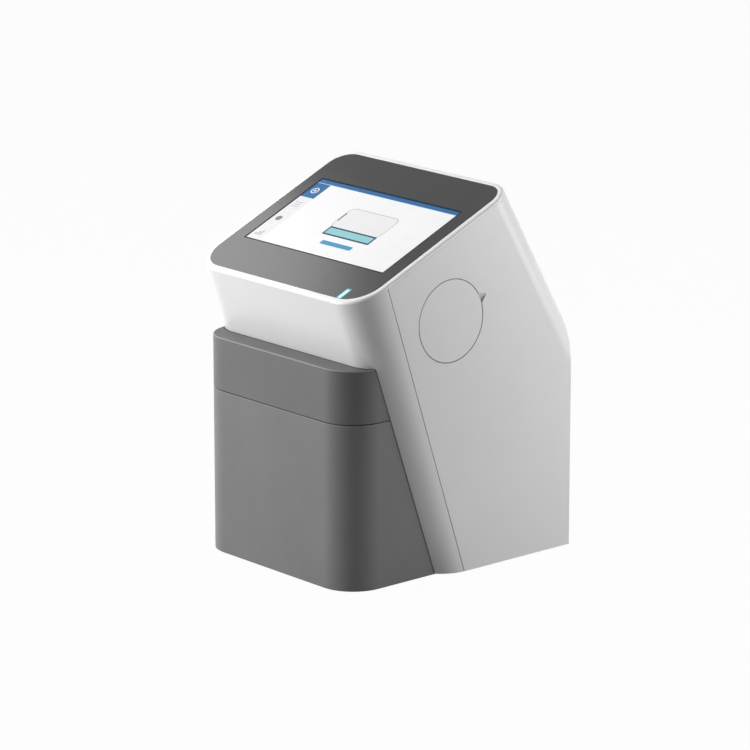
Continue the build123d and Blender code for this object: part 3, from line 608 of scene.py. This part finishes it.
def disc_outline(radius, steps=24):
    """Points round a circle about the middle."""
    turns = [2 * math.pi * step / steps for step in range(steps)]
    return [(radius * math.cos(turn), radius * math.sin(turn)) for turn in turns]


def row_places(count, pitch):
    """Places of evenly spaced things about the middle of their row."""
    return [(index - (count - 1) / 2) * pitch for index in range(count)]


def plate_mesh(name, outlines, thickness, hole, lift):
    """Flat plates with given outlines, or one plate with a hole that has as many points."""
    shape = bmesh.new()
    if hole:
        outer = [shape.verts.new((x, y, lift)) for x, y in outlines[0]]
        inner = [shape.verts.new((x, y, lift)) for x, y in hole]
        count = len(outer)
        for index in range(count):
            after = (index + 1) % count
            shape.faces.new((outer[index], outer[after], inner[after], inner[index]))
    else:
        for outline in outlines:
            shape.faces.new([shape.verts.new((x, y, lift)) for x, y in outline])
    raised = bmesh.ops.extrude_face_region(shape, geom=shape.faces[:])
    tops = [part for part in raised["geom"] if isinstance(part, bmesh.types.BMVert)]
    bmesh.ops.translate(shape, verts=tops, vec=(0.0, 0.0, thickness))
    bmesh.ops.recalc_face_normals(shape, faces=shape.faces[:])
    mesh = bpy.data.meshes.new(name)
    shape.to_mesh(mesh)
    shape.free()
    return mesh


def plates(name, outlines, thickness, place, material, body="housing", hole=None, lift=0.0):
    """Piece made of flat plates on a face, which moves with a body."""
    mesh = plate_mesh(name, outlines, thickness, hole, lift)
    mesh.transform(place)
    mesh.materials.append(material)
    made = bpy.data.objects.new(name, mesh)
    bpy.context.scene.collection.objects.link(made)
    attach(made, body)


# Picture on the display. Places are shares of its width and height, and lines and corners are in metres.
picture_layer = 0.00003
sharp_corner = 0.0001
whole_side = (0.0, 1.0)
header_bottom = 0.935
tab_right = 0.102
tab_edges = [0.93, 0.70, 0.47, 0.235, 0.0]
tab_gap = 0.004
card_x = (0.387, 0.731)
card_y = (0.41, 0.712)
card_corner = 0.006
card_line = 0.0007
handle_x = (0.390, 0.397)
handle_y = (0.507, 0.630)
handle_corner = 0.0003
tray_x = (0.397, 0.727)
tray_y = (0.296, 0.418)
tray_corner = 0.0006
tray_line = 0.0018
tray_inner_corner = 0.0003
button_x = (0.452, 0.668)
button_y = (0.168, 0.222)
button_corner = 0.001


def on_display(name, outline, material, layer=0, hole=None):
    """Piece of the picture, a number of layers above the display."""
    lift = layer * picture_layer
    plates(name, [outline], picture_layer, screen_place, material, hole=hole, lift=lift)


def display_outline(x_share, y_share, corner, inset=0.0):
    """Points round a rounded rectangle of the picture, whose sides are drawn in by an inset."""
    x_range = (x_share[0] * screen_width + inset, x_share[1] * screen_width - inset)
    y_range = (y_share[0] * screen_length + inset, y_share[1] * screen_length - inset)
    return rounded_outline(x_range, y_range, corner)


header = display_outline(whole_side, (header_bottom, 1.0), sharp_corner)
on_display("header_bar", header, header_blue)
for index, tab_top in enumerate(tab_edges[:-1]):
    tab = display_outline((0.0, tab_right), (tab_edges[index + 1] + tab_gap, tab_top), sharp_corner)
    on_display(f"tab_{index + 1}", tab, tab_grey if index else header_blue)

half_line = card_line / 2
card_outer = display_outline(card_x, card_y, card_corner + half_line, -half_line)
card_inner = display_outline(card_x, card_y, card_corner - half_line, half_line)
on_display("card_line", card_outer, line_grey, hole=card_inner)
on_display("card_face", card_inner, card_grey)
on_display("card_handle", display_outline(handle_x, handle_y, handle_corner), outline_dark, 1)
on_display("tray_outline", display_outline(tray_x, tray_y, tray_corner), outline_dark, 2)
tray_inner = display_outline(tray_x, tray_y, tray_inner_corner, tray_line)
on_display("tray_fill", tray_inner, teal, 3)
on_display("start_button", display_outline(button_x, button_y, button_corner), button_blue)

# Small signs in the middle of the tabs
icon_half = 0.0042
ring_bore = icon_half * 0.72
ring_dot = icon_half * 0.35
drop_radius = icon_half * 0.8
list_count = 3
list_step = 0.003
list_half = 0.0004
bar_heights = (0.003, 0.0055, 0.0075)
bar_step = 0.003
bar_width = 0.0016
sign_corner = 0.0003


def icon(name, outlines, tab, material, hole=None):
    """Small sign in the middle of a tab."""
    x = tab_right / 2 * screen_width
    y = (tab_edges[tab] + tab_edges[tab + 1]) / 2 * screen_length
    place = screen_place @ Matrix.Translation((x, y, 0.0))
    plates(name, outlines, picture_layer, place, material, hole=hole, lift=picture_layer)


icon("icon_ring", [disc_outline(icon_half)], 0, tab_grey, hole=disc_outline(ring_bore))
icon("icon_ring_dot", [disc_outline(ring_dot)], 0, tab_grey)
list_places = row_places(list_count, list_step)
list_lines = [centred_outline(0.0, y, icon_half, list_half, sign_corner) for y in list_places]
icon("icon_list", list_lines, 1, line_grey)
icon("icon_drop", [disc_outline(drop_radius)], 2, icon_grey)
bars = []
for index, height in enumerate(bar_heights):
    left = -icon_half + index * bar_step
    bars.append(rounded_outline((left, left + bar_width), (-icon_half, -icon_half + height), sign_corner))
icon("icon_bars", bars, 3, line_grey)

# Dark border of the display
mask_width = 0.0013
mask_layers = 5
mask_thickness = mask_layers * picture_layer
mask_outer = display_outline(whole_side, whole_side, sharp_corner)
mask_inner = display_outline(whole_side, whole_side, sharp_corner, mask_width)
plates("display_mask", [mask_outer], mask_thickness, screen_place, black_mask, hole=mask_inner)

# Dark line round the glass
film_thickness = 0.00002
glass_line = 0.0007
glass_near_radius = 0.0265
glass_far_radius = 0.019
glass_corner_steps = 16


def glass_outline(inset):
    """Points round the glass, drawn in by an inset."""
    x_range = (inset, glass_width - inset)
    y_range = (inset, glass_length - inset)
    near = glass_near_radius - inset
    return rounded_outline(x_range, y_range, near, glass_far_radius - inset, glass_corner_steps)


glass_outer = glass_outline(0.0)
glass_inner = glass_outline(glass_line)
plates("glass_edge", [glass_outer], film_thickness, glass_place, black_mask, hole=glass_inner)

# Glow in the glass beside the status light
light_middle = light_corner + across * light_width / 2 + along_top * light_length / 2
light_roundness = 0.45
glow_reach = 0.0022
glow_front = 0.0006
glow_softness = 1.6
glow_colour = (0.05, 0.62, 0.66, 1.0)
glow_glass = (0.022, 0.024, 0.025)
glow_glass_tint = (0.018, 0.020, 0.021)
glow_shade_scale = 60.0
glow_gloss_scale = 250.0
glow_roughness = 0.2


def make_glow():
    """Glass lit from below, fading away from the status light."""
    material, tree, shader = new_material("status_halo")
    side_gap = past(tree, steps_from_plane(tree, light_middle, across), light_width / 2)
    long_gap = past(tree, steps_from_plane(tree, light_middle, along_top), light_length / 2)
    level = fade(tree, long_side(tree, side_gap, long_gap), 0.0, glow_reach)
    softened = calculate(tree, "POWER", level, glow_softness)
    tone = mottled(tree, glow_shade_scale, glow_glass, glow_glass_tint)
    tree.links.new(tone, shader.inputs["Base Color"])
    shader.inputs["Emission Color"].default_value = glow_colour
    tree.links.new(softened, shader.inputs["Emission Strength"])
    gloss = uneven(tree, glow_gloss_scale, glow_roughness, lit_unevenness)
    tree.links.new(gloss, shader.inputs["Roughness"])
    return material


halo_x = (-glow_reach, light_width + glow_reach)
halo_outer = rounded_outline(halo_x, (-glow_front, light_length + glow_reach), glow_front, glow_reach)
halo_inner = rounded_outline((0.0, light_width), (0.0, light_length), light_width * light_roundness)
halo = make_glow()
plates("status_halo", [halo_outer], film_thickness, light_place, halo, hole=halo_inner)

# Pads on the floors of the cartridge nests, which show when the drawer is open
nest_count = 4
nest_pitch = 0.039
nest_width = 0.036
nest_y = (-0.0643, 0.0317)
nest_depth = 0.021
pad_margin = 0.003
pad_corner = 0.002
pad_thickness = 0.0008
nest_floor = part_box("drawer_tray")[1].z - nest_depth
pad_half = nest_width / 2 - pad_margin
pad_y = (nest_y[0] + pad_margin, nest_y[1] - pad_margin)
pads = []
for middle in row_places(nest_count, nest_pitch):
    pads.append(rounded_outline((middle - pad_half, middle + pad_half), pad_y, pad_corner))
nest_place = Matrix.Translation((0.0, 0.0, nest_floor))
plates("nest_pads", pads, pad_thickness, nest_place, pad_rubber, body="drawer")

# Dust mesh behind the vents and bare label on the rear slope, measured up from the knee of the rear panel
back_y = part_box("rear_panel")[1].y
knee_height = 0.2099
slope_place = face_matrix(Vector((0.0, back_y, knee_height)), leftwards, along_rear_slope)
casing_wall = 0.003
vent_middle = 0.0683
mesh_half_width = 0.051
mesh_half_height = 0.0255
mesh_thickness = 0.0006
mesh_clearance = 0.0002
mesh_lift = -casing_wall - mesh_clearance - mesh_thickness
slope_corner = 0.002
mesh_outline = centred_outline(0.0, vent_middle, mesh_half_width, mesh_half_height, slope_corner)
plates("vent_mesh", [mesh_outline], mesh_thickness, slope_place, dust_mesh, lift=mesh_lift)

label_half_width = 0.028
label_y = (0.0125, 0.0345)
label_thickness = 0.0001
label_outline = rounded_outline((-label_half_width, label_half_width), label_y, slope_corner)
plates("bare_rating_label", [label_outline], label_thickness, slope_place, label_silver)

# Cross recesses in the heads of the rear screws, drawn as thin black crosses on the heads: painted shade
# in the recesses
head_radius = 0.003
recess_arm = 0.0017
recess_half = 0.00036
recess_corner = 0.0001
recess_thickness = 0.00005
screw_low, screw_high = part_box("rear_screws")
screw_place = face_matrix(Vector((0.0, screw_high.y, 0.0)), leftwards, upwards)
crosses = []
for screw_x in (screw_low.x + head_radius, screw_high.x - head_radius):
    for screw_z in (screw_low.z + head_radius, screw_high.z - head_radius):
        crosses.append(centred_outline(-screw_x, screw_z, recess_arm, recess_half, recess_corner))
        crosses.append(centred_outline(-screw_x, screw_z, recess_half, recess_arm, recess_corner))
plates("screw_recess_shade", crosses, recess_thickness, screw_place, chip_black)

# Sleeves on the three pins of the power inlet
inlet_low, inlet_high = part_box("power_inlet")
inlet_middle = (inlet_low + inlet_high) / 2
inlet_depth = 0.016
pin_step = 0.007
pin_heights = (-0.002, 0.002, -0.002)
pin_half_width = 0.00105
pin_half_height = 0.00205
pin_corner = 0.0003
sleeve_length = 0.01305
sleeves = []
for step, height in zip(row_places(len(pin_heights), pin_step), pin_heights):
    pin_x = -(inlet_middle.x + step)
    pin_z = inlet_middle.z + height
    sleeves.append(centred_outline(pin_x, pin_z, pin_half_width, pin_half_height, pin_corner))
inlet_place = face_matrix(Vector((0.0, inlet_high.y - inlet_depth, 0.0)), leftwards, upwards)
plates("inlet_contacts", sleeves, sleeve_length, inlet_place, brass)

# Shells, tongues and contacts of the data ports
port_low, port_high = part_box("port_block")
port_z = (port_low.z + port_high.z) / 2
port_offset = -0.042
port_step = 0.018
data_port = (0.0132, 0.0058)
network_port = (0.0124, 0.0090)
port_sizes = [data_port, data_port, network_port]
port_clearance = 0.0001
shell_wall = 0.0005
shell_depth = 0.012
shell_stand = 0.0012
shell_corner = 0.0006
shell_inner_corner = 0.0003
tongue_half_width = 0.0052
tongue_gap = 0.0004
tongue_corner = 0.0002
tongue_setback = 0.0015
contact_count = 8
contact_pitch = 0.001
contact_half_width = 0.00025
contact_height = 0.0018
contact_corner = 0.0001
contact_setback = 0.003
shell_back = port_high.y + shell_stand - shell_depth
shell_place = face_matrix(Vector((0.0, shell_back, 0.0)), leftwards, upwards)


def tongue_outline(middle, ceiling):
    """Points round the tongue in a data port."""
    tongue_x = (middle - tongue_half_width, middle + tongue_half_width)
    return rounded_outline(tongue_x, (port_z + tongue_gap, ceiling - tongue_gap), tongue_corner)


def contact_outlines(middle, ceiling):
    """Points round each of the contacts under the ceiling of the network port."""
    outlines = []
    for step in row_places(contact_count, contact_pitch):
        contact_x = (middle + step - contact_half_width, middle + step + contact_half_width)
        outlines.append(rounded_outline(contact_x, (ceiling - contact_height, ceiling), contact_corner))
    return outlines


tongues = []
contacts = []
port_places = row_places(len(port_sizes), port_step)
for index, (step, size) in enumerate(zip(port_places, port_sizes)):
    middle = -(port_offset + step)
    half_width = size[0] / 2 - port_clearance
    half_height = size[1] / 2 - port_clearance
    inner_width = half_width - shell_wall
    inner_height = half_height - shell_wall
    outer = centred_outline(middle, port_z, half_width, half_height, shell_corner)
    inner = centred_outline(middle, port_z, inner_width, inner_height, shell_inner_corner)
    shell_name = f"port_shell_{index + 1}"
    plates(shell_name, [outer], shell_depth, shell_place, screw_steel, hole=inner)
    if size == network_port:
        contacts += contact_outlines(middle, port_z + inner_height)
    else:
        tongues.append(tongue_outline(middle, port_z + inner_height))
plates("port_tongues", tongues, shell_depth - tongue_setback, shell_place, chip_black)
plates("network_contacts", contacts, shell_depth - contact_setback, shell_place, brass)

# On and off signs of the power rocker, whose two faces lean apart
rocker_low, rocker_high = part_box("power_rocker")
rocker_y = (rocker_low.y + rocker_high.y) / 2
upper_lean = math.radians(12.67)
lower_lean = math.radians(3.33)
along_upper = Vector((math.sin(upper_lean), 0.0, math.cos(upper_lean)))
along_lower = Vector((math.sin(lower_lean), 0.0, math.cos(lower_lean)))
upper_face_x = 0.09921
upper_face_rise = 0.00363
lower_face_x = 0.09802
lower_face_drop = 0.00479
upper_face = Vector((upper_face_x, rocker_y, cover_middle.z + upper_face_rise))
lower_face = Vector((lower_face_x, rocker_y, cover_middle.z - lower_face_drop))
upper_place = face_matrix(upper_face, backwards, along_upper)
lower_place = face_matrix(lower_face, backwards, along_lower)
sign_thickness = 0.00006
on_half_width = 0.0004
on_half_height = 0.0018
on_corner = 0.0002
off_radius = 0.0018
off_bore = 0.0011
on_sign = centred_outline(0.0, 0.0, on_half_width, on_half_height, on_corner)
off_sign = disc_outline(off_radius)
off_hole = disc_outline(off_bore)
plates("on_sign", [on_sign], sign_thickness, upper_place, label_silver, body="rocker")
plates(
    "off_sign", [off_sign], sign_thickness, lower_place, label_silver,
    body="rocker", hole=off_hole,
)

# Floor, world and lamps
floor_half = 14.0
floor_tone = (0.52, 0.52, 0.52, 1.0)
floor_roughness = 0.9
world_tone = (1.0, 1.0, 1.0, 1.0)
backdrop_level = 0.97
reflected_level = 0.8
fill_level = 0.03
lamp_aim = Vector((0.0, 0.0, 0.17))


def background_rays(tree):
    """1 for rays from the camera and for reflected and transmitted ones."""
    paths = tree.nodes.new("ShaderNodeLightPath")
    direct = calculate(tree, "MAXIMUM", paths.outputs["Is Camera Ray"], paths.outputs["Is Glossy Ray"])
    return calculate(tree, "MAXIMUM", direct, paths.outputs["Is Transmission Ray"])


def mix_shaders(tree, factor, first, second, output):
    """Sends a mix of two shaders to the surface of an output."""
    mix = tree.nodes.new("ShaderNodeMixShader")
    tree.links.new(factor, mix.inputs[0])
    tree.links.new(first.outputs[0], mix.inputs[1])
    tree.links.new(second.outputs[0], mix.inputs[2])
    tree.links.new(mix.outputs[0], tree.nodes[output].inputs["Surface"])


def make_floor():
    """Pale floor that stays near white in the picture and keeps the object's shadow."""
    data = bpy.data.meshes.new("floor")
    signs = ((-1, -1), (1, -1), (1, 1), (-1, 1))
    data.from_pydata([(x * floor_half, y * floor_half, 0.0) for x, y in signs], [], [(0, 1, 2, 3)])
    floor = bpy.data.objects.new("floor", data)
    bpy.context.scene.collection.objects.link(floor)
    material, tree, shader = new_material("floor_paint")
    shader.inputs["Base Color"].default_value = floor_tone
    shader.inputs["Roughness"].default_value = floor_roughness
    shader.inputs["Specular IOR Level"].default_value = 0.0
    seen = calculate(tree, "MULTIPLY", background_rays(tree), backdrop_level)
    white = tree.nodes.new("ShaderNodeEmission")
    mix_shaders(tree, seen, shader, white, "Material Output")
    data.materials.append(material)


def make_world():
    """White to the camera, a little less in reflections, and a soft even fill elsewhere."""
    world = bpy.data.worlds.new("world")
    bpy.context.scene.world = world
    world.use_nodes = True
    tree = world.node_tree
    fill = tree.nodes["Background"]
    fill.inputs["Color"].default_value = world_tone
    fill.inputs["Strength"].default_value = fill_level
    white = tree.nodes.new("ShaderNodeBackground")
    white.inputs["Color"].default_value = world_tone
    camera_rays = tree.nodes.new("ShaderNodeLightPath").outputs["Is Camera Ray"]
    extra = calculate(tree, "MULTIPLY", camera_rays, backdrop_level - reflected_level)
    tree.links.new(calculate(tree, "ADD", extra, reflected_level), white.inputs["Strength"])
    mix_shaders(tree, background_rays(tree), fill, white, "World Output")


def make_lamp(name, place, size, power):
    """Square soft lamp aimed at the middle of the object, unseen by the camera."""
    data = bpy.data.lights.new(name, "AREA")
    data.size = size
    data.energy = power
    lamp = bpy.data.objects.new(name, data)
    lamp.location = place
    lamp.visible_camera = False
    aim = lamp_aim - Vector(place)
    lamp.rotation_euler = aim.to_track_quat("-Z", "Y").to_euler()
    bpy.context.scene.collection.objects.link(lamp)


make_floor()
make_world()
make_lamp("front_left_lamp", (-1.10, -1.35, 0.64), size=1.1, power=35.7)
make_lamp("right_lamp", (0.64, 0.63, 0.33), size=0.45, power=4.8)
make_lamp("top_lamp", (0.1, 0.0, 1.6), size=0.7, power=6.3)
make_lamp("left_lamp", (-0.62, -0.02, 0.62), size=0.34, power=0.95)
